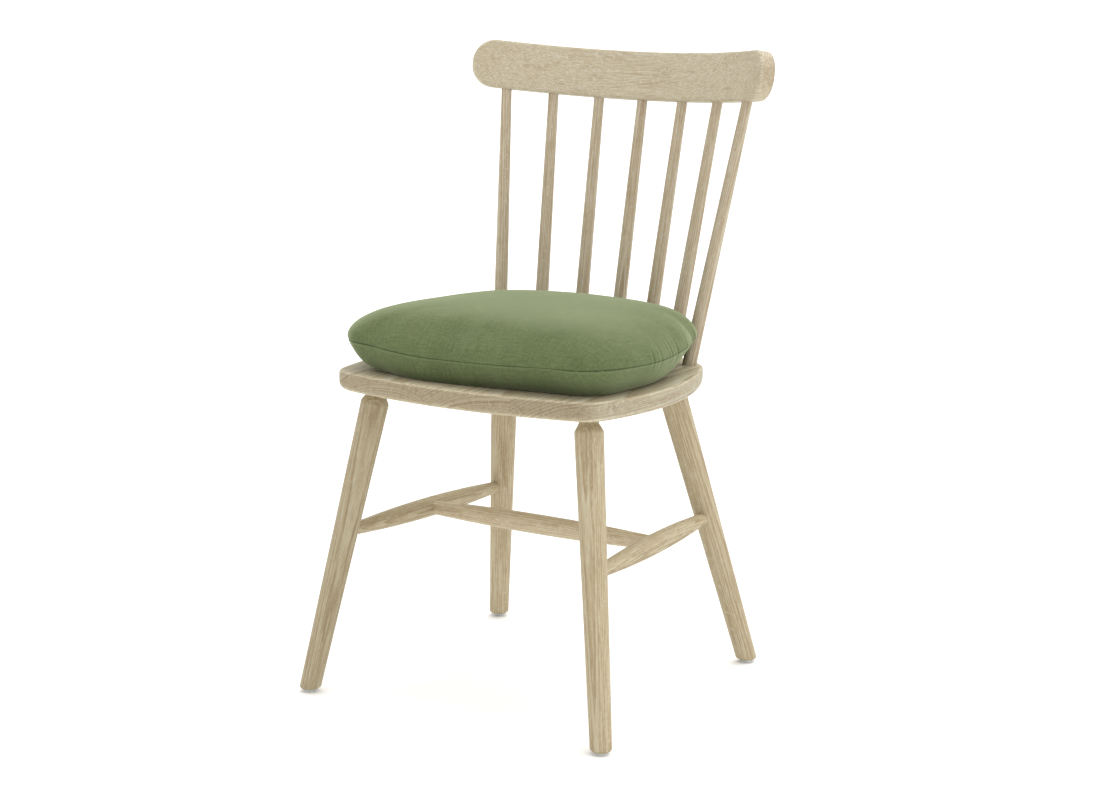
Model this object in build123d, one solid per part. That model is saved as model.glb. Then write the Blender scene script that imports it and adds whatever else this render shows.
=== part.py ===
from build123d import *
import math
import os

# A spindle-back dining chair in limed oak, with a loose cushion cut to the shape of its seat.
# Millimetres. +Z is up, -Y is the front, the origin is on the floor under the middle of the chair.

# seat: oak boards glued edge to edge, their grain front to back, the top falling gently to the back
seatThickness = 27
seatUnderside = 423          # at the front legs
seatFall = 1.65              # degrees
seatFront = -256             # y of the front edge on the centre line
seatFrontCorner = (205, -224)
seatSide = (228, -84)
seatBackCorner = (172, 122)
seatBack = 190
frontCornerRadius = 46
backCornerRadius = 70
seatTopRound = 4.5
seatBottomRound = 12
boardJoints = (-38, 94)      # x of the glue lines

# legs: turned, splayed both ways, necked where they enter the seat
frontFoot = (236.5, -253.5)
frontTop = (168, -175.5)
rearFoot = (214.5, 189)
rearTop = (137, 91)
legFootRadius = 14.4
legShoulderRadius = 19.4
legNeckRadius = 13.2
legNeckLength = 10           # bare neck under the seat
legShoulderHeight = 10.5
legShoulderRound = 7
legTenonDepth = 20
footHeight = 4.5             # the wood stops here, on its glide
footChamfer = 2.5

# stretchers: cigar shaped, their round ends let into the legs
frontStretcherHeight = 224
rearStretcherHeight = 220
crossPlace = 0.517           # along the side stretchers from the front
sideEndRadius = 8.5
crossEndRadius = 10
stretcherMiddleRadius = 14
sideTenonPastAxis = 5
crossTenonPastAxis = 3

# spindles: on one arc in the seat and on a wider one in the crest rail
spindleSteps = (-3, -2, -1, 0, 1, 2, 3)
spindleArcRadius = 233.3
spindleArcCentre = -63.2
spindleSeatStep = 14.2       # degrees
spindleCrestStep = 10.35
spindleBottomRadius = 10
spindleTopRadius = 7.4
spindleTipRadius = 6.7
spindleSeatDepth = 20
spindleCrestDepth = 30

# crest rail: a curved board that leans back with the spindles
crestFoot = (0, 245, 790.5)    # middle of its underside
crestLean = 12               # degrees
crestRadius = 384.5
crestThickness = 22
crestHeight = 69
crestHalfAngle = 39
crestEndRound = 32
crestEdgeRound = 4

# glides: plastic pads moulded round a nail
glideRadius = 8.5
glideRound = 1.5
nailRadius = 1.2
nailHeadRadius = 3.5
nailHeadHeight = 1.2
nailLength = 18
nailPoint = 3

# cushion: two fabric panels cut to the seat's shape, seamed at their rims over a soft filling
cushionMiddle = -42          # y of the point that its outline shrinks towards
cushionFront = -238
cushionFrontCorner = (203, -223)
cushionSide = (222, -82)
cushionBackCorner = (185, 73)
cushionBack = 166
cushionCornerRadius = 60
cushionSections = (          # height above the seat, share of the outline
    (0, 0.87),
    (14, 0.95),
    (35, 1),
    (56, 0.96),
    (74, 0.84),
    (86, 0.62),
    (92, 0.3),
)
seamSection = 2              # the panels meet here
panelThickness = 1.2
cushionGap = 0.4             # clear of the seat

glueGap = 1                  # spare depth at the bottom of each blind hole
reach = 600                  # longer than any half of the chair


def save(shape, name):
    export_step(shape, "parts/" + name + ".step")


def mirrored(point, side):
    return (side * point[0], point[1])


def onSeat(point, height):
    """The point of the chair a height above the seat's underside, over a plan point."""
    drop = math.tan(math.radians(seatFall)) * (point[1] - frontTop[1])
    return Vector(point[0], point[1], seatUnderside - drop + height)


def seatPlane(y, height):
    return Plane(onSeat((0, y), height)).rotated((-seatFall, 0, 0))


def turned(start, end, *edges):
    """A solid turned about the line from start to end, from edges in radius and distance."""
    place = Plane(origin=start, z_dir=end - start)
    outline = make_face(Plane.XZ * Curve(edges))
    return place * revolve(outline, Axis.Z)


# ---- seat ----

def seatOutline():
    front, back = seatFrontCorner, seatBackCorner
    frontArc = ThreePointArc(mirrored(front, -1), (0, seatFront), front)
    rightArc = ThreePointArc(front, seatSide, back)
    backArc = ThreePointArc(back, (0, seatBack), mirrored(back, -1))
    leftArc = ThreePointArc(mirrored(back, -1), mirrored(seatSide, -1), mirrored(front, -1))
    outline = make_face([frontArc, rightArc, backArc, leftArc])
    corners = outline.vertices().sort_by(Axis.Y)
    outline = fillet(corners[:2], frontCornerRadius)
    corners = outline.vertices().filter_by(lambda v: abs(v.Y - back[1]) < 1)
    return fillet(corners, backCornerRadius)


def seatBlank():
    flat = extrude(seatOutline(), seatThickness)
    flat = fillet(flat.faces().sort_by(Axis.Z)[-1].edges(), seatTopRound)
    flat = fillet(flat.faces().sort_by(Axis.Z)[0].edges(), seatBottomRound)
    return seatPlane(0, 0) * flat


def seatBoards(cutters):
    blank = seatBlank()
    for cutter in cutters:
        blank -= cutter
    limits = (-reach, *boardJoints, reach)
    boards = []
    for low, high in zip(limits[:-1], limits[1:]):
        slab = Pos((low + high) / 2, 0, 0) * Box(high - low, 2 * reach, 2 * reach)
        boards.append(blank & slab)
    return boards


# ---- legs and glides ----

def legAxis(foot, top, side):
    footPoint = Vector(*mirrored(foot, side), 0)
    return footPoint, onSeat(mirrored(top, side), 0)


def legPoint(foot, top, side, height):
    low, high = legAxis(foot, top, side)
    return low + (high - low) * (height / high.Z)


def legTurning(foot, top, side, extra):
    low, high = legAxis(foot, top, side)
    length = (high - low).length
    neck = length - legNeckLength
    shoulder = neck - legShoulderHeight
    tip = length + legTenonDepth + extra
    profile = Polyline(
        (0, 0),
        (legFootRadius, 0),
        (legShoulderRadius, shoulder),
        (legNeckRadius, neck),
        (legNeckRadius, tip),
        (0, tip),
        (0, 0),
    )
    return turned(low, high, *profile.edges())


def legBlank(foot, top, side):
    leg = legTurning(foot, top, side, 0)
    rims = leg.edges().filter_by(GeomType.CIRCLE).sort_by(Axis.Z)
    widest = rims.sort_by(lambda rim: rim.radius)[-1]
    leg = fillet(widest, legShoulderRound)
    leg -= Pos(0, 0, footHeight - reach / 2) * Box(2 * reach, 2 * reach, reach)
    return chamfer(leg.faces().sort_by(Axis.Z)[0].edges(), footChamfer)


def nail(place):
    head = Cylinder(nailHeadRadius, nailHeadHeight, align=(Align.CENTER, Align.CENTER, Align.MAX))
    shank = Cylinder(nailRadius, nailLength, align=(Align.CENTER, Align.CENTER, Align.MIN))
    point = Cone(nailRadius, 0, nailPoint, align=(Align.CENTER, Align.CENTER, Align.MIN))
    return Pos(place) * (head + shank + Pos(0, 0, nailLength) * point)


def glide(place, pin):
    pad = Cylinder(glideRadius, footHeight, align=(Align.CENTER, Align.CENTER, Align.MAX))
    pad = fillet(pad.edges().sort_by(Axis.Z)[0], glideRound)
    return Pos(place) * pad - pin


# ---- stretchers ----

def stretcher(start, end, endRadius, tenon, bare, extra):
    """A cigar between two axes: tenon runs past each axis, bare is the length hidden in the leg."""
    length = (end - start).length
    low, high = -tenon - extra, length + tenon + extra
    tail = Polyline(
        (endRadius, length - bare),
        (endRadius, high),
        (0, high),
        (0, low),
        (endRadius, low),
        (endRadius, bare),
    )
    belly = ThreePointArc(
        (endRadius, bare),
        (stretcherMiddleRadius, length / 2),
        (endRadius, length - bare),
    )
    return turned(start, end, *tail.edges(), belly)


def sideStretcherEnds(side):
    front = legPoint(frontFoot, frontTop, side, frontStretcherHeight)
    rear = legPoint(rearFoot, rearTop, side, rearStretcherHeight)
    return front, rear


def sideStretcher(side, extra):
    front, rear = sideStretcherEnds(side)
    return stretcher(front, rear, sideEndRadius, sideTenonPastAxis, legShoulderRadius, extra)


def crossStretcher(extra):
    ends = []
    for side in (-1, 1):
        front, rear = sideStretcherEnds(side)
        ends.append(front + (rear - front) * crossPlace)
    return stretcher(*ends, crossEndRadius, crossTenonPastAxis, stretcherMiddleRadius, extra)


# ---- spindles and crest rail ----

def crestPlane():
    return Plane(crestFoot).rotated((-crestLean, 0, 0))


def spindleAxis(step):
    seatAngle = math.radians(step * spindleSeatStep)
    plan = (
        spindleArcRadius * math.sin(seatAngle),
        spindleArcCentre + spindleArcRadius * math.cos(seatAngle),
    )
    crestAngle = math.radians(step * spindleCrestStep)
    along = crestRadius * math.sin(crestAngle)
    across = crestRadius * (math.cos(crestAngle) - 1)
    return onSeat(plan, seatThickness), crestPlane().from_local_coords(Vector(along, across, 0))


def spindle(step, extra):
    bottom, top = spindleAxis(step)
    length = (top - bottom).length
    taper = (spindleTopRadius - spindleTipRadius) / spindleCrestDepth
    low = -spindleSeatDepth - extra
    high = length + spindleCrestDepth + extra
    tip = spindleTipRadius - taper * extra
    profile = Polyline(
        (0, low),
        (spindleBottomRadius, low),
        (spindleBottomRadius, 0),
        (spindleTopRadius, length),
        (tip, high),
        (0, high),
        (0, low),
    )
    return turned(bottom, top, *profile.edges())


def crestRail(cutters):
    inner = crestRadius - crestThickness / 2
    outer = crestRadius + crestThickness / 2
    start = 90 - crestHalfAngle
    span = 2 * crestHalfAngle
    place = Pos(0, -crestRadius)
    outside = CenterArc((0, 0), outer, start, span)
    inside = CenterArc((0, 0), inner, start, span)
    ends = [Line(outside @ 0, inside @ 0), Line(outside @ 1, inside @ 1)]
    rail = extrude(place * make_face([outside, inside, *ends]), crestHeight)
    acrossEnds = rail.edges().filter_by(GeomType.LINE).filter_by(lambda e: abs(e.length - crestThickness) < 1)
    rail = fillet(acrossEnds, crestEndRound)
    faces = rail.faces().filter_by(GeomType.CYLINDER).sort_by(lambda f: f.area)[-2:]
    rims = faces[0].edges() + faces[1].edges()
    rail = crestPlane() * fillet(rims, crestEdgeRound)
    for cutter in cutters:
        rail -= cutter
    return rail


# ---- cushion ----

def cushionOutline():
    front, back = cushionFrontCorner, cushionBackCorner
    frontArc = ThreePointArc(mirrored(front, -1), (0, cushionFront), front)
    rightArc = ThreePointArc(front, cushionSide, back)
    backArc = ThreePointArc(back, (0, cushionBack), mirrored(back, -1))
    leftArc = ThreePointArc(mirrored(back, -1), mirrored(cushionSide, -1), mirrored(front, -1))
    outline = make_face([frontArc, rightArc, backArc, leftArc])
    corners = outline.vertices().sort_by(Axis.Y)
    return Pos(0, -cushionMiddle) * fillet(corners[:2], cushionCornerRadius)


def cushionSlab(sections, inset):
    """The cushion between its first and last section, smaller all round by the inset."""
    outline = cushionOutline()
    faces = []
    for height, share in sections:
        size = share - inset / cushionSide[0]
        lift = height + inset * (1 - 2 * height / cushionSections[-1][0])
        faces.append(Pos(0, 0, lift) * scale(outline, size))
    return loft(faces, ruled=True)


def cushionPieces():
    place = seatPlane(cushionMiddle, seatThickness + cushionGap)
    lower = cushionSections[:seamSection + 1]
    upper = cushionSections[seamSection:]
    filling = cushionSlab(cushionSections, panelThickness)
    topPanel = cushionSlab(upper, 0) - filling
    bottomPanel = cushionSlab(lower, 0) - filling
    return place * filling, place * topPanel, place * bottomPanel


# ---- the chair ----

legPlaces = {
    "leg_front_left": (frontFoot, frontTop, -1),
    "leg_front_right": (frontFoot, frontTop, 1),
    "leg_rear_left": (rearFoot, rearTop, -1),
    "leg_rear_right": (rearFoot, rearTop, 1),
}
sides = {"left": -1, "right": 1}
boardNames = ("seat_board_left", "seat_board_middle", "seat_board_right")


def buildLegs():
    nails = []
    stretcherHoles = {side: sideStretcher(side, glueGap) for side in sides.values()}
    for name, (foot, top, side) in legPlaces.items():
        place = legPoint(foot, top, side, footHeight)
        pin = nail(place)
        nails.append(pin)
        save(legBlank(foot, top, side) - stretcherHoles[side] - pin, name)
        save(glide(place, pin), name.replace("leg", "glide"))
    save(Compound(nails), "glide_nails")


def buildStretchers():
    for name, side in sides.items():
        save(sideStretcher(side, 0) - crossStretcher(glueGap), "side_stretcher_" + name)
    save(crossStretcher(0), "cross_stretcher")


def buildBack():
    for number, step in enumerate(spindleSteps, start=1):
        save(spindle(step, 0), "spindle_" + str(number))
    save(crestRail([spindle(step, glueGap) for step in spindleSteps]), "crest_rail")


def buildSeat():
    legHoles = [legTurning(foot, top, side, glueGap) for foot, top, side in legPlaces.values()]
    spindleHoles = [spindle(step, glueGap) for step in spindleSteps]
    for name, board in zip(boardNames, seatBoards(legHoles + spindleHoles)):
        save(board, name)


def buildCushion():
    filling, topPanel, bottomPanel = cushionPieces()
    save(filling, "cushion_filling")
    save(topPanel, "cushion_top_panel")
    save(bottomPanel, "cushion_bottom_panel")


os.makedirs("parts", exist_ok=True)
buildSeat()
buildLegs()
buildStretchers()
buildBack()
buildCushion()
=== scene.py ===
import math

import bpy
import numpy as np
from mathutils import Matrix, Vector


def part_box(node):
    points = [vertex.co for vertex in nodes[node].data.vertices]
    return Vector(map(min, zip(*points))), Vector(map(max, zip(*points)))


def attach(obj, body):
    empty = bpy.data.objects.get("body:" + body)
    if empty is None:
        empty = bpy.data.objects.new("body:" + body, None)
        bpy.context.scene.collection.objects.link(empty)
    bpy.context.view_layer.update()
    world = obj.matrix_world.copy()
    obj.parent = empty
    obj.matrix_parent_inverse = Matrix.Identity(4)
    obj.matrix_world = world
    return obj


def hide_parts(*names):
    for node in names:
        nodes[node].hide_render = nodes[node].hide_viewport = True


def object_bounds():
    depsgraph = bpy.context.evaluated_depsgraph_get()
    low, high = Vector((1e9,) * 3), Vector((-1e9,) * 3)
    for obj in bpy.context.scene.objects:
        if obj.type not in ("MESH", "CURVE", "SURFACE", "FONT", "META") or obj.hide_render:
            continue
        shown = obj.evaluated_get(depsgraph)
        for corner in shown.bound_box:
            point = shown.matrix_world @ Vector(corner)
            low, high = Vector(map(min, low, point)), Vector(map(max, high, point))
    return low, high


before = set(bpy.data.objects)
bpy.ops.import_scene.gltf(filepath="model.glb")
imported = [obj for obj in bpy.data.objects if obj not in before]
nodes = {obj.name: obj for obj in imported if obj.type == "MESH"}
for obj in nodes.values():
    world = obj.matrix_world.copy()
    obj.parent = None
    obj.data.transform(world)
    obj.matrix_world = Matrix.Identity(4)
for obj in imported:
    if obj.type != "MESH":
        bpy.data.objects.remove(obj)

cadLow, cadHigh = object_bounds()
scene = bpy.context.scene
print("frame loaded,", len(nodes), "pieces")


# camera, light and floor

studio = {
    "turn": 32.386,                      # degrees round from the front
    "rise": 11.748,
    "distance": 3.338,
    "lens": 79.66,
    "sensor": 36,
    "farthest": 200,                     # clips well past the floor's edge
    "aimFromMiddle": (0.0202, -0.0364, -0.0249),
    "floorRadius": 45,
    "floorSides": 96,
    "floorColour": (0.99, 0.99, 0.99, 1),
    "floorRoughness": 0.7,
    "surround": 1,                       # the white room's own light
    "overhead": {"from": (165, 66), "spread": 70, "power": 1.83},    # turn and rise, degrees
    "boxes": [                           # place, width and height, watts
        {"at": (-2.6, -1.6, 1.9), "size": (1.8, 2.4), "power": 7.3},
        {"at": (2.9, -0.6, 1.7), "size": (1.8, 2.4), "power": 13.4},
    ],
}


def direction(turn, rise):               # from the chair towards the camera
    turn, rise = math.radians(turn), math.radians(rise)
    return Vector((math.sin(turn) * math.cos(rise), -math.cos(turn) * math.cos(rise), math.sin(rise)))


def placeCamera():
    aim = (cadLow + cadHigh) / 2 + Vector(studio["aimFromMiddle"])
    back = direction(studio["turn"], studio["rise"])
    camera = bpy.data.objects.new("camera", bpy.data.cameras.new("camera"))
    camera.data.sensor_width = studio["sensor"]
    camera.data.lens = studio["lens"]
    camera.data.clip_end = studio["farthest"]
    camera.location = aim + back * studio["distance"]
    camera.rotation_mode = "QUATERNION"
    camera.rotation_quaternion = (-back).to_track_quat("-Z", "Y")
    scene.collection.objects.link(camera)
    scene.camera = camera


def placeLights():
    middle = (cadLow + cadHigh) / 2
    for number, box in enumerate(studio["boxes"], start=1):
        light = bpy.data.lights.new("soft_box_" + str(number), "AREA")
        light.shape = "RECTANGLE"
        light.size, light.size_y = box["size"]
        light.energy = box["power"]
        lamp = bpy.data.objects.new(light.name, light)
        lamp.location = box["at"]
        lamp.rotation_mode = "QUATERNION"
        lamp.rotation_quaternion = (middle - lamp.location).to_track_quat("-Z", "Y")
        scene.collection.objects.link(lamp)
    sky = bpy.data.lights.new("overhead_light", "SUN")
    sky.energy = studio["overhead"]["power"]
    sky.angle = math.radians(studio["overhead"]["spread"])
    lamp = bpy.data.objects.new("overhead_light", sky)
    lamp.rotation_mode = "QUATERNION"
    lamp.rotation_quaternion = (-direction(*studio["overhead"]["from"])).to_track_quat("-Z", "Y")
    scene.collection.objects.link(lamp)
    world = bpy.data.worlds.new("white_room")
    world.use_nodes = True
    world.node_tree.nodes["Background"].inputs["Color"].default_value = (1, 1, 1, 1)
    world.node_tree.nodes["Background"].inputs["Strength"].default_value = studio["surround"]
    scene.world = world
    scene.view_settings.view_transform = "Standard"


# shader sums

def tint(red, green, blue):              # 0 to 255 as a screen shows them, made linear
    shares = [part / 255 for part in (red, green, blue)]
    return (*(c / 12.92 if c <= 0.04045 else ((c + 0.055) / 1.055) ** 2.4 for c in shares), 1)


class Value:                             # a node's output that can stand in a sum
    def __init__(self, finish, socket):
        self.finish = finish
        self.socket = socket

    def __add__(self, other):
        return self.finish.maths("ADD", self, other)

    def __radd__(self, other):
        return self.finish.maths("ADD", other, self)

    def __sub__(self, other):
        return self.finish.maths("SUBTRACT", self, other)

    def __rsub__(self, other):
        return self.finish.maths("SUBTRACT", other, self)

    def __mul__(self, other):
        return self.finish.maths("MULTIPLY", self, other)

    def __rmul__(self, other):
        return self.finish.maths("MULTIPLY", other, self)

    def __truediv__(self, other):
        return self.finish.maths("DIVIDE", self, other)

    def __rtruediv__(self, other):
        return self.finish.maths("DIVIDE", other, self)


class Finish:                            # a material and what its nodes are made with
    def __init__(self, name):
        self.material = bpy.data.materials.new(name)
        self.material.use_nodes = True
        self.tree = self.material.node_tree
        self.tree.nodes.clear()

    def node(self, kind, settings, inputs, output=0):
        made = self.tree.nodes.new("ShaderNode" + kind)
        for key, value in settings.items():
            setattr(made, key, value)
        for key, value in inputs.items():
            if isinstance(value, Value):
                self.tree.links.new(value.socket, made.inputs[key])
            else:
                made.inputs[key].default_value = value
        return Value(self, made.outputs[output]) if made.outputs else None

    def maths(self, operation, *values):
        return self.node("Math", {"operation": operation}, dict(enumerate(values)))

    def vector(self, operation, *values, output=0):
        return self.node("VectorMath", {"operation": operation}, dict(enumerate(values)), output)

    def part(self, vector, number):      # 0, 1 or 2 for x, y or z
        return self.node("SeparateXYZ", {}, {"Vector": vector}, number)

    def noise(self, place, scale, detail=2, output=0):
        inputs = {"Vector": place, "Scale": scale, "Detail": detail}
        return self.node("TexNoise", {}, inputs, output)

    def step(self, value, low, high):    # 0 below low, 1 above high, smooth between
        inputs = {"Value": value, "From Min": low, "From Max": high}
        return self.node("MapRange", {"interpolation_type": "SMOOTHSTEP"}, inputs)

    def blend(self, share, first, second, kind="MIX"):
        settings = {"data_type": "RGBA", "blend_type": kind}
        return self.node("Mix", settings, {0: share, 6: first, 7: second}, 2)

    def bump(self, height, strength, distance):
        return self.node("Bump", {}, {"Height": height, "Strength": strength, "Distance": distance})

    def surface(self, **inputs):
        named = {key.replace("_", " "): value for key, value in inputs.items()}
        shader = self.node("BsdfPrincipled", {}, named)
        self.node("OutputMaterial", {}, {"Surface": shader})
        return self.material


# limed oak

oak = {
    "pale": tint(180, 169, 144),         # porous early wood
    "tan": tint(165, 150, 121),          # dense late wood
    "brown": tint(143, 124, 94),         # darker streaks
    "lime": tint(196, 189, 172),         # white filler left in the pores
    "pore": tint(108, 89, 61),
    "fleck": tint(183, 174, 152),        # medullary rays
    "endGrain": tint(190, 170, 138),
    "swayBy": 0.011,                     # how far the rings wander
    "paceScale": 75,                     # rings come wider and narrower
    "paceBy": 2.2,
    "earlyFade": (0.05, 0.55),           # places within one ring, from 0 to 1
    "earlyReturn": (0.9, 1),
    "lateRise": (0.55, 0.86),
    "lateFall": (0.88, 1),
    "patterns": {                        # scale, its share of that along the grain, detail
        "sway": (11, 0.14, 2),
        "streak": (120, 0.09, 3),
        "fibre": (420, 0.035, 3),
        "pores": (1150, 0.035, 1),
        "patch": (21, 1, 3),
        "speck": (380, 0.3, 2),
    },
    "rayScale": 1000,
    "rayStretch": (0.055, 0.09, 0.2),    # round the pith, out from it, along the grain
    "starts": {                          # the value where each begins to show, and where it is full
        "streak": (0.5, 0.72),
        "patch": (0.5, 0.75),
        "fibre": (0.5, 0.66),
        "speck": (0.55, 0.68),
        "ray": (0.6, 0.7),
        "limed": (0.58, 0.7),
        "openPore": (0.62, 0.72),
        "cutEnd": (0.45, 0.95),          # how squarely a face crosses the grain
        # upward: below the first value faces take the painted side shade, above the second the full tone
        "upward": (0.3, 0.8),
    },
    "shares": {"ringLine": 0.75, "ray": 0.5, "limed": 0.7, "openPore": 0.55, "cutEnd": 0.4},
    "limedInLate": 0.25,                 # pores in late wood, and how many more in early wood
    "limedInEarly": 0.75,
    "openInLate": 0.3,
    "openInEarly": 0.5,
    "roughness": 0.62,
    "raySmooth": 0.12,
    "earlyRough": 0.1,
    "reliefStrength": 0.35,
    "reliefHeight": 0.0006,
    "fibreRelief": 0.6,
    "poreRelief": 0.4,
    "gloss": 0.3,
}

grains = {                               # what differs from one kind of piece to the next
    "leg": {
        "ringWidth": 0.0028, "rings": 0.9, "streak": 0.65, "patch": 0.3, "fibre": 0.8, "speck": 0.15,
        "tone": (1, 0.99, 0.94, 1),
    },
    "cross": {
        "ringWidth": 0.0026, "rings": 0.9, "streak": 0.7, "patch": 0.3, "fibre": 0.7, "speck": 0.18,
        # painted light: this raised tone lifts the cross stretcher out of the shade under the seat
        "tone": (1.2, 1.2, 1.2, 1),
    },
    "side": {
        "ringWidth": 0.0026, "rings": 0.9, "streak": 0.7, "patch": 0.3, "fibre": 0.7, "speck": 0.18,
        "tone": (0.98, 0.98, 0.93, 1),
    },
    "spindle": {
        "ringWidth": 0.0026, "rings": 0.9, "streak": 0.6, "patch": 0.3, "fibre": 0.7, "speck": 0.15,
        "tone": (1.05, 1.05, 1.1, 1),
    },
    "seat": {
        "ringWidth": 0.0034, "rings": 1, "streak": 0.6, "patch": 0.4, "fibre": 0.5, "speck": 0.2,
        "tone": (1.15, 1.2, 1.24, 1),
    },
    "crest": {
        "ringWidth": 0.0018, "rings": 1, "streak": 0.5, "patch": 0.4, "fibre": 0.7, "speck": 0.2,
        "tone": (1.16, 1.2, 1.28, 1),
    },
}

paintedSideShades = {                               # painted shade: share of the tone that upright faces keep, by kind or by piece
    "seat": 0.82,
    "seat_board_right": 0.76,
    "leg_front_left": 0.88,
    "leg_rear_right": 0.95,
    "spindle_7": 0.94,
}

cuts = {                                 # where in its log each piece was cut
    "turned": {"turnEach": 2.4, "alongEach": 0.37, "lean": 0.1, "pith": 0.045, "pithEach": 0.012, "logs": 4},
    "board": {"each": (0.012, 0.6, 0), "pithSide": (0.2, 0, -1), "pith": 0.15, "pithEach": 0.02},
    "crest": {"pithSide": (0, 0.45, -1), "pith": 0.085},
}


def oakFinish(name, kind, axis, middle, pithSide, pithDistance):
    grain = grains[kind]
    shade = paintedSideShades.get(name.removesuffix("_oak"), paintedSideShades.get(kind, 1))
    paintedSideTone = (*(part * shade for part in grain["tone"][:3]), 1)
    turn = axis.to_track_quat("Z", "Y")
    pith = turn.inverted() @ (pithSide.normalized() * pithDistance)
    f = Finish(name)
    place = f.node("TexCoord", {}, {}, "Object")
    inputs = {"Vector": place, "Location": middle, "Rotation": turn.to_euler()}
    local = f.node("Mapping", {"vector_type": "TEXTURE"}, inputs)

    def pattern(what, output=0):
        scale, along, detail = oak["patterns"][what]
        return f.noise(f.vector("MULTIPLY", local, (1, 1, along)), scale, detail, output)

    def shown(what, value):
        return f.step(value, *oak["starts"][what])

    sway = (oak["swayBy"], oak["swayBy"], 0)
    swayed = f.vector("MULTIPLY_ADD", pattern("sway", "Color"), sway, local)
    fromPith = f.vector("SUBTRACT", swayed, (pith.x, pith.y, 0))
    radius = f.vector("LENGTH", f.vector("MULTIPLY", fromPith, (1, 1, 0)), output=1)
    angle = f.maths("ARCTAN2", f.part(fromPith, 1), f.part(fromPith, 0))

    inputs = {"W": radius, "Scale": oak["paceScale"], "Detail": 1}
    pace = f.node("TexNoise", {"noise_dimensions": "1D"}, inputs)
    ring = f.maths("FRACT", radius / grain["ringWidth"] + pace * oak["paceBy"])
    early = (1 - f.step(ring, *oak["earlyFade"])) + f.step(ring, *oak["earlyReturn"])
    ringLine = f.step(ring, *oak["lateRise"]) * (1 - f.step(ring, *oak["lateFall"]))

    fibre, pores, speck = pattern("fibre"), pattern("pores"), pattern("speck")
    limed = shown("limed", pores) * (oak["limedInLate"] + early * oak["limedInEarly"])
    openPore = shown("openPore", 1 - pores) * (oak["openInLate"] + early * oak["openInEarly"])

    aroundBy, outBy, alongBy = oak["rayStretch"]
    rayParts = {0: angle * aroundBy, 1: radius * outBy, 2: f.part(fromPith, 2) * alongBy}
    rayPlace = f.node("CombineXYZ", {}, rayParts)
    ray = shown("ray", f.noise(rayPlace, oak["rayScale"], 1))

    normal = f.node("NewGeometry", {}, {}, "Normal")
    facing = f.maths("ABSOLUTE", f.vector("DOT_PRODUCT", normal, tuple(axis), output=1))
    upward = f.maths("ABSOLUTE", f.part(normal, 2))
    # painted shade: upright faces take the darker side tone, faces that look up take the full tone
    tone = f.blend(shown("upward", upward), paintedSideTone, grain["tone"])

    shares = oak["shares"]
    layers = [                           # each is laid over the ones before it
        (ringLine * (grain["rings"] * shares["ringLine"]), "brown"),
        (shown("streak", pattern("streak")) * grain["streak"], "brown"),
        (shown("patch", pattern("patch")) * grain["patch"], "brown"),
        (shown("fibre", fibre) * grain["fibre"], "pale"),
        (shown("speck", speck) * grain["speck"], "brown"),
        (shown("speck", 1 - speck) * grain["speck"], "lime"),
        (ray * shares["ray"], "fleck"),
        (limed * shares["limed"], "lime"),
        (openPore * shares["openPore"], "pore"),
    ]
    wood = f.blend(early * grain["rings"], oak["tan"], oak["pale"])
    for share, colour in layers:
        wood = f.blend(share, wood, oak[colour])
    wood = f.blend(shown("cutEnd", facing) * shares["cutEnd"], wood, oak["endGrain"], "MULTIPLY")
    wood = f.blend(1.0, wood, tone, "MULTIPLY")

    height = fibre * oak["fibreRelief"] + pores * oak["poreRelief"] - openPore
    return f.surface(
        Base_Color=wood,
        Roughness=oak["roughness"] - ray * oak["raySmooth"] + (early - 0.5) * oak["earlyRough"],
        Normal=f.bump(height, oak["reliefStrength"], oak["reliefHeight"]),
        Specular_IOR_Level=oak["gloss"],
    )


def longAxis(piece):                     # the way a turned piece runs, and its middle
    points = np.array([vertex.co[:] for vertex in piece.data.vertices])
    middle = points.mean(axis=0)
    way = Vector(np.linalg.svd(points - middle, full_matrices=False)[2][0])
    return (way if way.z + way.x > 0 else -way), Vector(middle)


def finishOak():
    turned = [name for name in nodes if name.startswith(("leg_", "spindle_")) or "stretcher" in name]
    cut = cuts["turned"]
    for number, name in enumerate(sorted(turned)):
        axis, middle = longAxis(nodes[name])
        turn = cut["turnEach"] * number
        side = Vector((math.cos(turn), math.sin(turn), cut["lean"]))
        side -= axis * side.dot(axis)
        middle = middle + axis * (cut["alongEach"] * number)
        kind = name.split("_")[0]
        pith = cut["pith"] + cut["pithEach"] * (number % cut["logs"])
        nodes[name].material_slots[0].material = oakFinish(name + "_oak", kind, axis, middle, side, pith)
    boards = sorted(name for name in nodes if name.startswith("seat_board"))
    cut = cuts["board"]
    for number, name in enumerate(boards):
        low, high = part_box(name)
        middle = (low + high) / 2 + Vector([part * number for part in cut["each"]])
        pith = cut["pith"] + cut["pithEach"] * number
        along, side = Vector((0, 1, 0)), Vector(cut["pithSide"])
        nodes[name].material_slots[0].material = oakFinish(name + "_oak", "seat", along, middle, side, pith)
    low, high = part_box("crest_rail")
    middle = (low + high) / 2
    along, side = Vector((1, 0, 0)), Vector(cuts["crest"]["pithSide"])
    material = oakFinish("crest_rail_oak", "crest", along, middle, side, cuts["crest"]["pith"])
    nodes["crest_rail"].material_slots[0].material = material


# glides and nails

glide = {
    "colour": tint(207, 210, 208),
    "shade": tint(183, 186, 183),
    "clouds": 180,
    "cloudy": (0.35, 0.7),
    "scratches": 260,
    "scratchLength": 0.12,
    "roughness": 0.3,
    "scuffRough": 0.3,
    "relief": (0.15, 0.0003),            # strength, height
    "glow": 0.4,
    "glowDepth": 0.004,
}

nail = {
    "dark": tint(150, 152, 156),
    "bright": tint(190, 192, 196),
    "drawMarks": 900,
    "markLength": 0.1,
    "roughness": 0.25,
    "markRough": 0.2,
    "relief": (0.1, 0.0002),
}


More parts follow.
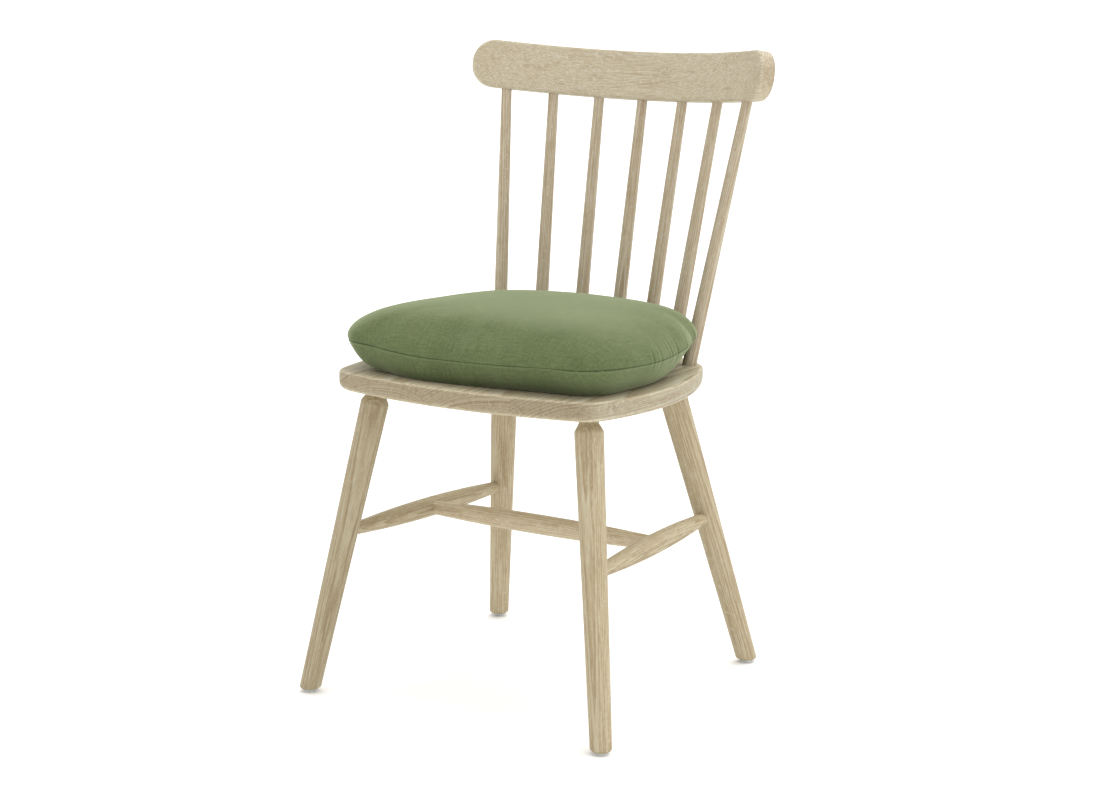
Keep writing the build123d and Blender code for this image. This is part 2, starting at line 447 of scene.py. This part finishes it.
def finishGlides():
    f = Finish("glide_nylon")
    place = f.node("TexCoord", {}, {}, "Object")
    cloud = f.noise(place, glide["clouds"], 2)
    scuff = f.noise(f.vector("MULTIPLY", place, (1, glide["scratchLength"], 1)), glide["scratches"], 2)
    nylon = f.surface(
        Base_Color=f.blend(f.step(cloud, *glide["cloudy"]), glide["colour"], glide["shade"]),
        Roughness=glide["roughness"] + scuff * glide["scuffRough"],
        Normal=f.bump(scuff, *glide["relief"]),
        Subsurface_Weight=glide["glow"],
        Subsurface_Radius=(glide["glowDepth"],) * 3,
    )
    for name in nodes:
        if name.startswith("glide_") and name != "glide_nails":
            nodes[name].material_slots[0].material = nylon
    f = Finish("nail_steel_bright")
    place = f.node("TexCoord", {}, {}, "Object")
    drawn = f.noise(f.vector("MULTIPLY", place, (1, 1, nail["markLength"])), nail["drawMarks"], 2)
    nodes["glide_nails"].material_slots[0].material = f.surface(
        Base_Color=f.blend(drawn, nail["dark"], nail["bright"]),
        Metallic=1,
        Roughness=nail["roughness"] + drawn * nail["markRough"],
        Normal=f.bump(drawn, *nail["relief"]),
    )


# seat cushion

cushion = {
    "middle": (0, -0.042),               # where its top panel is highest
    "seamHeight": 0.035,
    "height": 0.0875,
    "contact": 0.88,                     # share of its width that lies on the seat
    "crownPowers": (3, 0.4545),          # how flat its top is, and how round its shoulder
    "underPower": 1.3,
    "fullSlant": 0.05,                   # lift at which a corner's underside is one straight slant
    "crease": 0.8,
    "clearance": 0.0002,
    "corners": [                         # how the seam rises and reaches, and the underside lifts
        {"turn": 220, "spread": 24, "rise": 0.008, "reach": -0.004, "lift": 0.05, "gathers": 3},
        {"turn": 250, "spread": 26, "rise": -0.002, "reach": 0, "lift": -0.06, "gathers": 0},
        {"turn": 320, "spread": 26, "rise": 0.004, "reach": 0, "lift": 0.025, "gathers": 2},
        {"turn": 30, "spread": 30, "rise": 0.013, "reach": 0.004, "lift": 0.045, "gathers": 2},
        {"turn": 357, "spread": 20, "rise": 0, "reach": 0, "lift": 0, "gathers": 5},
        {"turn": 150, "spread": 30, "rise": 0.005, "reach": 0.002, "lift": 0.04, "gathers": 3},
        {"turn": 183, "spread": 20, "rise": 0, "reach": 0, "lift": 0, "gathers": 4},
    ],
    "grid": 96,                          # squares across a panel
    "mostSwell": 0.006,
    "evening": 40,                       # rounds of smoothing of that swell
    "eveningShare": 0.6,
    "seamHold": 0.85,                    # share of its outward swell that the seam holds back
    "seamHoldReach": 0.02,
    "seamDepth": 0.0016,
    "seamReach": 0.0008,
    "seed": 5,
}

filling = {
    "quality": 5,
    "pressure": 4,
    "mass": 0.25,
    "stiffness": 20,
    "bending": 5,
    "growth": 0.02,                      # share by which the cover may grow
    "frames": 20,
}

gathers = {                              # apart and stray in degrees, width in radians
    "apart": 7,
    "stray": 2.5,
    "width": (0.009, 0.013),
    "depth": (0.0014, 0.0026),
    "reach": (0.012, 0.026),
}

puckers = {                              # small ones, anywhere
    "count": 18,
    "width": (0.009, 0.02),
    "depth": (0.0003, 0.0008),
    "reach": (0.005, 0.012),
}

foldShape = {
    "slant": 0.25,                       # how far a fold leans as it leaves the seam
    "ridge": 0.45,                       # the cloth stands up each side of it
    "ridgeWidth": 2.4,
    "reachBelow": 0.5,
    "lift": 0.5,
}

stitch = {
    "pitch": 0.0036,
    "length": 0.0026,
    "thickness": 0.0006,
    "uneven": (0.8, 1.15),
    "sides": 8,
    "rings": 5,
}

cloth = {
    "green": tint(90, 100, 65),
    # deeper green for the wash and mottle, also laid as painted shade on the lower panel
    "deep": tint(71, 82, 51),
    "wornAndHighlight": tint(117, 128, 90),          # where washing has paled it, and the painted highlight along the seam's rolled edge
    # the seam's dark thread colour, also laid as painted shade where the underside meets the seat
    "seam": tint(47, 56, 31),
    "thread": 0.0009,                    # from one thread to the next
    "drift": (60, 1.6),                  # scale and amount of the threads' wander
    "slubs": (700, 0.06),                # scale, and its share along the thread
    "mottleScale": 320,
    "washScale": 9,
    "sewn": (0.0002, 0.0014),            # metres from the seam
    "lipHighlight": (-0.005, -0.002, -0.0008),    # painted highlight on the rolled edge: starts, is full and ends, just below the seam
    "layers": {                          # where each begins to show, where it is full, and its share
        "wash": (0.35, 0.7, 0.45),
        "mottle": (0.42, 0.66, 0.6),
        "slub": (0.48, 0.6, 0.35),
        "weave": (-0.2, 1, 0.22),
        "shaded": (0.004, 0.032, 0.3),   # painted shade, in metres below the seam: the lower panel darkens towards the seat
        # painted shade, darkest where the underside meets the seat
        "underShade": (0.024, 0.042, 0.45),
    },
    "lipHighlightShare": 0.3,
    "sewnShare": 0.7,
    "relief": (0.4, 0.0005),             # strength, height
    "weaveRelief": 0.35,
    "slubRelief": 1.2,
    "roughness": 0.86,
    "slubRough": 0.1,
    "sheen": 0.54,
    "sheenRoughness": 0.38,
    "sheenTint": tint(226, 234, 194),
    "gloss": 0.15,
}


def seatUp():                            # square to the cushion's flat underside
    under = [v.normal for v in nodes["cushion_bottom_panel"].data.vertices if v.normal.z < -0.99]
    return -(sum(under, Vector()) / len(under)).normalized()


def cushionBasis():
    up = seatUp()
    right = Vector((1, 0, 0))
    back = up.cross(right)
    points = np.array([v.co[:] for v in nodes["cushion_bottom_panel"].data.vertices])
    base = (points @ np.array(up)).min()
    plan = Vector((*cushion["middle"], 0))
    origin = plan + up * (base - plan.dot(up))
    return origin, right, back, up


def outlineRadius(angles, basis):        # how far the seam is from the middle, each way
    origin, right, back, _ = basis
    points = np.array([v.co[:] for v in nodes["cushion_bottom_panel"].data.vertices]) - np.array(origin)
    x, y = points @ np.array(right), points @ np.array(back)
    turns = np.arctan2(y, x) % (2 * math.pi)
    reach = np.hypot(x, y)
    bins = 120                           # every 3 degrees
    found = np.zeros(bins)
    np.maximum.at(found, (turns / (2 * math.pi) * bins).astype(int) % bins, reach)
    middles = (np.arange(bins) + 0.5) * 2 * math.pi / bins
    filled = found > 0.1                 # the rest have no rim point in them
    smooth = np.interp(middles, middles[filled], found[filled], period=2 * math.pi)
    smooth = (np.roll(smooth, 1) + 2 * smooth + np.roll(smooth, -1)) / 4
    return np.interp(angles % (2 * math.pi), middles, smooth, period=2 * math.pi)


def evenly(share, height, reach, places):    # points of a profile, by length, closer near the seam
    steps = np.hypot(np.diff(share) * reach, np.diff(height))
    length = np.concatenate([[0], np.cumsum(steps)])
    wanted = length[-1] * (1 - (1 - places) ** 1.5)
    return np.interp(wanted, length, share), np.interp(wanted, length, height), wanted, length[-1] - wanted


def topProfile(places, reach):
    share = 1 - (1 - np.linspace(0, 1, 500)) ** 3
    rise = cushion["height"] - cushion["seamHeight"]
    flatness, roundness = cushion["crownPowers"]
    return evenly(share, cushion["seamHeight"] + rise * (1 - share ** flatness) ** roundness, reach, places)


def bottomProfile(places, reach):
    t = np.linspace(0, 1, 300)
    share = np.concatenate([[0], cushion["contact"] + (1 - cushion["contact"]) * (1 - (1 - t) ** 2)])
    height = np.concatenate([[0], cushion["seamHeight"] * t ** cushion["underPower"]])
    return evenly(share, height, reach, places)


def cornerPull(angles, what):
    total = np.zeros(len(angles))
    for corner in cushion["corners"]:
        off = (np.degrees(angles) - corner["turn"] + 180) % 360 - 180
        total += corner[what] * np.exp(-((off / corner["spread"]) ** 2))
    return total


def panelPoints(profile, basis):         # a square grid drawn out to the seam's outline
    count = cushion["grid"] + 1
    line = np.linspace(-1, 1, count)
    u, v = (a.ravel() for a in np.meshgrid(line, line, indexing="ij"))
    places = np.maximum(np.abs(u), np.abs(v))
    wide = np.abs(u) >= np.abs(v)
    safeU, safeV = np.where(u == 0, 1, u), np.where(v == 0, 1, v)
    quarter = math.pi / 4
    angles = np.where(
        wide,
        quarter * v / safeU + math.pi * (u < 0),
        2 * quarter - quarter * u / safeV + math.pi * (v < 0),
    )
    reach = outlineRadius(angles, basis)
    share, height, length, fromSeam = profile(places, reach.mean())
    climb = np.clip(height / cushion["seamHeight"], 0, 1)
    height = height + cornerPull(angles, "rise") * climb ** 2 * share ** 3
    if profile is bottomProfile:         # the underside slants in under the corners
        contact = cushion["contact"]
        lifted = contact - cornerPull(angles, "lift")
        slant = np.clip(cornerPull(angles, "lift") / cushion["fullSlant"], 0, 1)
        beyond = np.clip((share - contact) / (1 - contact), 0, 1)
        beyond = beyond * (1 - slant) + climb * slant
        share = np.where(share < contact, share * lifted / contact, lifted + (1 - lifted) * beyond)
    reach = reach + cornerPull(angles, "reach")
    origin, right, back, up = (np.array(a) for a in basis)
    outwards = np.cos(angles)[:, None] * right + np.sin(angles)[:, None] * back
    points = origin + (share * reach)[:, None] * outwards + height[:, None] * up
    flat = (length * reach / reach.mean())[:, None] * np.stack([np.cos(angles), np.sin(angles)], axis=1)
    return points, flat, fromSeam


def cushionMesh(basis):
    top, topFlat, above = panelPoints(topProfile, basis)
    bottom, bottomFlat, under = panelPoints(bottomProfile, basis)
    count = cushion["grid"] + 1
    number = np.arange(count * count)
    rim = above < 1e-7
    below = np.where(rim, number, 0)
    below[~rim] = count * count + np.arange((~rim).sum())
    points = np.concatenate([top, bottom[~rim]])
    corner = number.reshape(count, count)
    squares = np.stack([corner[:-1, :-1], corner[1:, :-1], corner[1:, 1:], corner[:-1, 1:]], axis=-1)
    squares = squares.reshape(-1, 4)
    faces = np.concatenate([squares, below[squares][:, ::-1]])
    flat = np.concatenate([topFlat[squares].reshape(-1, 2), bottomFlat[squares][:, ::-1].reshape(-1, 2)])
    mesh = bpy.data.meshes.new("seat_cushion")
    mesh.from_pydata(points.tolist(), [], faces.tolist())
    layer = mesh.uv_layers.new(name="cut")
    layer.data.foreach_set("uv", flat.ravel())
    distance = mesh.attributes.new("fromSeam", "FLOAT", "POINT")    # below the seam it is negative
    distance.data.foreach_set("value", np.concatenate([above, -under[~rim]]).astype(np.float32))
    crease = mesh.attributes.new("crease_edge", "FLOAT", "EDGE")
    onRim = np.zeros(len(points), bool)
    onRim[:count * count] = rim
    ends = np.zeros(len(mesh.edges) * 2, np.int32)
    mesh.edges.foreach_get("vertices", ends)
    creased = onRim[ends.reshape(-1, 2)].all(axis=1)
    crease.data.foreach_set("value", creased.astype(np.float32) * cushion["crease"])
    mesh.update()
    return mesh


def coordinates(mesh):
    points = np.zeros(len(mesh.vertices) * 3, np.float32)
    mesh.vertices.foreach_get("co", points)
    return points.reshape(-1, 3).astype(float)


def setCoordinates(mesh, points):
    mesh.vertices.foreach_set("co", points.astype(np.float32).ravel())
    mesh.update()


def seamDistances(mesh):
    found = np.zeros(len(mesh.vertices), np.float32)
    mesh.attributes["fromSeam"].data.foreach_get("value", found)
    return found.astype(float)


def onSeam(mesh):
    return np.abs(seamDistances(mesh)) < 1e-6


def evened(mesh, move):                  # each point's move, drawn towards its neighbours'
    ends = np.zeros(len(mesh.edges) * 2, np.int32)
    mesh.edges.foreach_get("vertices", ends)
    first, second = ends.reshape(-1, 2).T
    count = np.bincount(ends, minlength=len(move))[:, None]
    loose = ~onSeam(mesh)[:, None]
    share = cushion["eveningShare"]
    for _ in range(cushion["evening"]):
        total = np.zeros_like(move)
        np.add.at(total, first, move[second])
        np.add.at(total, second, move[first])
        move = np.where(loose, (1 - share) * move + share * total / count, move)
    return move


def swell(piece, basis):                 # the filling's pressure on the cover
    start = coordinates(piece.data)
    held = piece.vertex_groups.new(name="held")
    for index in np.flatnonzero(onSeam(piece.data)):
        held.add([int(index)], 1.0, "REPLACE")
    modifier = piece.modifiers.new("filling", "CLOTH")
    settings = modifier.settings
    settings.quality = filling["quality"]
    settings.mass = filling["mass"]
    settings.tension_stiffness = filling["stiffness"]
    settings.compression_stiffness = filling["stiffness"]
    settings.bending_stiffness = filling["bending"]
    settings.use_pressure = True
    settings.uniform_pressure_force = filling["pressure"]
    settings.effector_weights.gravity = 0
    settings.vertex_group_mass = "held"
    settings.shrink_min = -filling["growth"]
    for number in range(1, filling["frames"] + 1):
        scene.frame_set(number)
    evaluated = piece.evaluated_get(bpy.context.evaluated_depsgraph_get())
    move = coordinates(evaluated.data) - start
    piece.modifiers.remove(modifier)
    piece.vertex_groups.remove(held)
    scene.frame_set(1)
    move = evened(piece.data, move)
    turns = around(start, basis)
    far = np.linalg.norm(move, axis=1, keepdims=True) + 1e-9
    most = cushion["mostSwell"]
    move = move / far * most * np.tanh(far / most)
    flat = np.stack([np.cos(turns), np.sin(turns), np.zeros(len(turns))], axis=1)
    outwards = np.maximum((move * flat).sum(axis=1, keepdims=True), 0)
    nearness = np.exp(-np.abs(seamDistances(piece.data)) / cushion["seamHoldReach"])[:, None]
    setCoordinates(piece.data, start + move - cushion["seamHold"] * outwards * nearness * flat)
    print("cushion swelled, furthest point", round(float(far.max()) * 1000, 1), "mm")


def keepAbove(piece, basis):             # no point sinks into the seat
    points = coordinates(piece.data)
    origin, _, _, up = (np.array(a) for a in basis)
    height = (points - origin) @ up
    setCoordinates(piece.data, points + np.maximum(cushion["clearance"] - height, 0)[:, None] * up)


def subdivide(piece):
    smooth = piece.modifiers.new("smooth", "SUBSURF")
    smooth.levels = smooth.render_levels = 1
    evaluated = piece.evaluated_get(bpy.context.evaluated_depsgraph_get())
    mesh = bpy.data.meshes.new_from_object(evaluated)
    piece.modifiers.remove(smooth)
    piece.data = mesh
    mesh.name = "seat_cushion"


def around(points, basis):
    origin, right, back, _ = (np.array(a) for a in basis)
    return np.arctan2((points - origin) @ back, (points - origin) @ right)


def seamLine(piece, basis):              # the seam's points in order round the cushion
    points = coordinates(piece.data)[onSeam(piece.data)]
    return points[np.argsort(around(points, basis))]


def fold(random, turn, kind):            # turn, width, depth, reach from the seam
    return (turn, *(random.uniform(*kind[what]) for what in ("width", "depth", "reach")))


def folds(random):
    made = []
    for corner in cushion["corners"]:
        for place in range(corner["gathers"]):
            turn = corner["turn"] + (place - corner["gathers"] / 2) * gathers["apart"]
            turn += random.uniform(-gathers["stray"], gathers["stray"])
            made.append(fold(random, math.radians(turn), gathers))
    for _ in range(puckers["count"]):
        made.append(fold(random, random.uniform(-math.pi, math.pi), puckers))
    return made


def sewSeam(piece, basis):
    points = coordinates(piece.data)
    away = seamDistances(piece.data)
    _, right, back, up = (np.array(a) for a in basis)
    turns = around(points, basis)
    outwards = np.cos(turns)[:, None] * right + np.sin(turns)[:, None] * back
    near = np.abs(away)
    pull = cushion["seamDepth"] * np.exp(-near / cushion["seamReach"])
    rise = np.zeros(len(points))
    for turn, width, depth, reach in folds(np.random.default_rng(cushion["seed"])):
        leaned = turn + foldShape["slant"] * near * math.copysign(1, math.sin(turn * 7))    # either way
        off = (turns - leaned + math.pi) % (2 * math.pi) - math.pi
        ridge = np.exp(-((off / (width * foldShape["ridgeWidth"])) ** 2))
        tuck = np.exp(-((off / width) ** 2)) - foldShape["ridge"] * ridge
        tuck = tuck * depth * np.exp(-near / (reach * np.where(away > 0, 1, foldShape["reachBelow"])))
        pull += tuck
        rise -= tuck * foldShape["lift"] * np.sign(away)
    points += rise[:, None] * up - pull[:, None] * outwards
    setCoordinates(piece.data, points)


def clothFinish():
    f = Finish("green_canvas")
    flat = f.node("TexCoord", {}, {}, "UV")
    place = f.node("TexCoord", {}, {}, "Object")
    radiansPerMetre = 2 * math.pi / (2 * cloth["thread"])
    driftScale, driftBy = cloth["drift"]
    drift = f.noise(flat, driftScale, 2) * driftBy
    warp = f.maths("SINE", f.part(flat, 0) * radiansPerMetre + drift)
    weft = f.maths("SINE", f.part(flat, 1) * radiansPerMetre + drift)
    weave = warp * weft
    slubScale, slubLong = cloth["slubs"]
    slubAcross = f.noise(f.vector("MULTIPLY", flat, (1, slubLong, 1)), slubScale, 2)
    slubAlong = f.noise(f.vector("MULTIPLY", flat, (slubLong, 1, 1)), slubScale, 2)
    slub = slubAcross * 0.5 + slubAlong * 0.5
    mottle = f.noise(place, cloth["mottleScale"], 3)
    wash = f.noise(place, cloth["washScale"], 3)
    fromSeam = f.node("Attribute", {"attribute_name": "fromSeam"}, {}, "Fac")
    below = 0 - fromSeam
    sewn = 1 - f.step(f.maths("ABSOLUTE", fromSeam), *cloth["sewn"])
    lipLow, lipTop, lipEnd = cloth["lipHighlight"]
    lipHighlight = f.step(fromSeam, lipLow, lipTop) * (1 - f.step(fromSeam, lipTop, lipEnd))

    def laid(what, value):
        low, high, share = cloth["layers"][what]
        return f.step(value, low, high) * share

    layers = [                           # each is laid over the ones before it
        (laid("mottle", mottle), "deep"),
        (laid("slub", slub), "wornAndHighlight"),
        (laid("weave", weave), "wornAndHighlight"),
        # painted highlight along the rolled edge just below the seam
        (lipHighlight * cloth["lipHighlightShare"], "wornAndHighlight"),
        # painted shade on the lower panel, darker towards the seat and darkest where it meets it
        (laid("shaded", below), "deep"),
        (laid("underShade", below), "seam"),
        (sewn * cloth["sewnShare"], "seam"),
    ]
    colour = f.blend(laid("wash", wash), cloth["green"], cloth["deep"])
    for share, tone in layers:
        colour = f.blend(share, colour, cloth[tone])
    height = weave * cloth["weaveRelief"] + slub * cloth["slubRelief"]
    return f.surface(
        Base_Color=colour,
        Roughness=cloth["roughness"] + slub * cloth["slubRough"],
        Normal=f.bump(height, *cloth["relief"]),
        Sheen_Weight=cloth["sheen"],
        Sheen_Roughness=cloth["sheenRoughness"],
        Sheen_Tint=cloth["sheenTint"],
        Specular_IOR_Level=cloth["gloss"],
    )


def joinSocket(group, name, kind, value=None):
    socket = group.interface.new_socket(name=name, in_out="INPUT", socket_type=kind)
    if value is not None:
        socket.default_value = value
    return socket.identifier


def stitchTree(material):                # short threads, end to end along a curve
    group = bpy.data.node_groups.new("seam_stitches", "GeometryNodeTree")
    group.interface.new_socket(name="Geometry", in_out="OUTPUT", socket_type="NodeSocketGeometry")
    joinSocket(group, "Seam", "NodeSocketGeometry")
    sockets = {
        "pitch": joinSocket(group, "Pitch", "NodeSocketFloat", stitch["pitch"]),
        "length": joinSocket(group, "Length", "NodeSocketFloat", stitch["length"]),
        "thickness": joinSocket(group, "Thickness", "NodeSocketFloat", stitch["thickness"]),
        "seed": joinSocket(group, "Seed", "NodeSocketInt", cushion["seed"]),
    }

    def add(kind, settings, links):
        made = group.nodes.new(kind)
        for key, value in settings.items():
            setattr(made, key, value)
        for key, value in links.items():
            if isinstance(value, bpy.types.NodeSocket):
                group.links.new(value, made.inputs[key])
            else:
                made.inputs[key].default_value = value
        return made

    given = add("NodeGroupInput", {}, {}).outputs
    run = {"Curve": given["Seam"], "Length": given["Pitch"]}
    spaced = add("GeometryNodeResampleCurve", {"mode": "LENGTH"}, run)
    tangent = add("GeometryNodeInputTangent", {}, {})
    turn = add("FunctionNodeAlignRotationToVector", {"axis": "Z"}, {"Vector": tangent.outputs[0]})
    ball = {"Segments": stitch["sides"], "Rings": stitch["rings"], "Radius": 0.5}    # 1 m across, then scaled
    thread = add("GeometryNodeMeshUVSphere", {}, ball)
    least, most = stitch["uneven"]
    between = {2: least, 3: most, "Seed": given["Seed"]}
    uneven = add("FunctionNodeRandomValue", {"data_type": "FLOAT"}, between)
    longer = add("ShaderNodeMath", {"operation": "MULTIPLY"}, {0: given["Length"], 1: uneven.outputs[1]})
    sizes = {0: given["Thickness"], 1: given["Thickness"], 2: longer.outputs[0]}
    size = add("ShaderNodeCombineXYZ", {}, sizes)
    laying = {
        "Points": spaced.outputs[0],
        "Instance": thread.outputs[0],
        "Rotation": turn.outputs[0],
        "Scale": size.outputs[0],
    }
    placed = add("GeometryNodeInstanceOnPoints", {}, laying)
    real = add("GeometryNodeRealizeInstances", {}, {"Geometry": placed.outputs[0]})
    finished = add("GeometryNodeSetMaterial", {}, {"Geometry": real.outputs[0], "Material": material})
    add("NodeGroupOutput", {}, {0: finished.outputs[0]})
    return group, sockets


def makeStitches(line, material):
    curve = bpy.data.curves.new("seam_path", "CURVE")
    curve.dimensions = "3D"
    spline = curve.splines.new("POLY")
    spline.points.add(len(line) - 1)
    for point, co in zip(spline.points, line):
        point.co = (*co, 1)
    spline.use_cyclic_u = True
    path = bpy.data.objects.new("seam_path", curve)
    scene.collection.objects.link(path)
    group, sockets = stitchTree(material)
    modifier = path.modifiers.new("stitches", "NODES")
    modifier.node_group = group
    for what in ("pitch", "length", "thickness"):
        modifier[sockets[what]] = stitch[what]
    modifier[sockets["seed"]] = cushion["seed"]
    evaluated = path.evaluated_get(bpy.context.evaluated_depsgraph_get())
    mesh = bpy.data.meshes.new_from_object(evaluated)
    bpy.data.objects.remove(path)
    mesh.name = "cushion_seam_stitches"
    piece = bpy.data.objects.new(mesh.name, mesh)
    scene.collection.objects.link(piece)
    for face in mesh.polygons:
        face.use_smooth = True
    return piece


def makeCushion():
    basis = cushionBasis()
    piece = bpy.data.objects.new("seat_cushion", cushionMesh(basis))
    scene.collection.objects.link(piece)
    swell(piece, basis)
    keepAbove(piece, basis)
    subdivide(piece)
    sewSeam(piece, basis)
    mesh = piece.data
    for face in mesh.polygons:
        face.use_smooth = True
    material = clothFinish()
    mesh.materials.append(material)
    stitches = makeStitches(seamLine(piece, basis), material)
    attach(piece, "cushion")
    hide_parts("cushion_top_panel", "cushion_bottom_panel", "cushion_filling")
    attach(stitches, "cushion")
    print("cushion made,", len(mesh.polygons), "faces")


def layFloor():
    bpy.ops.mesh.primitive_circle_add(
        vertices=studio["floorSides"],
        radius=studio["floorRadius"],
        fill_type="NGON",
        location=(0, 0, cadLow.z),
    )
    floor = bpy.context.object
    floor.name = "studio_floor"
    f = Finish("pale_floor")
    pale = f.surface(Base_Color=studio["floorColour"], Roughness=studio["floorRoughness"])
    floor.data.materials.append(pale)


placeCamera()
placeLights()
layFloor()
print("studio set")
finishOak()
print("oak finished")
finishGlides()
print("glides finished")
makeCushion()
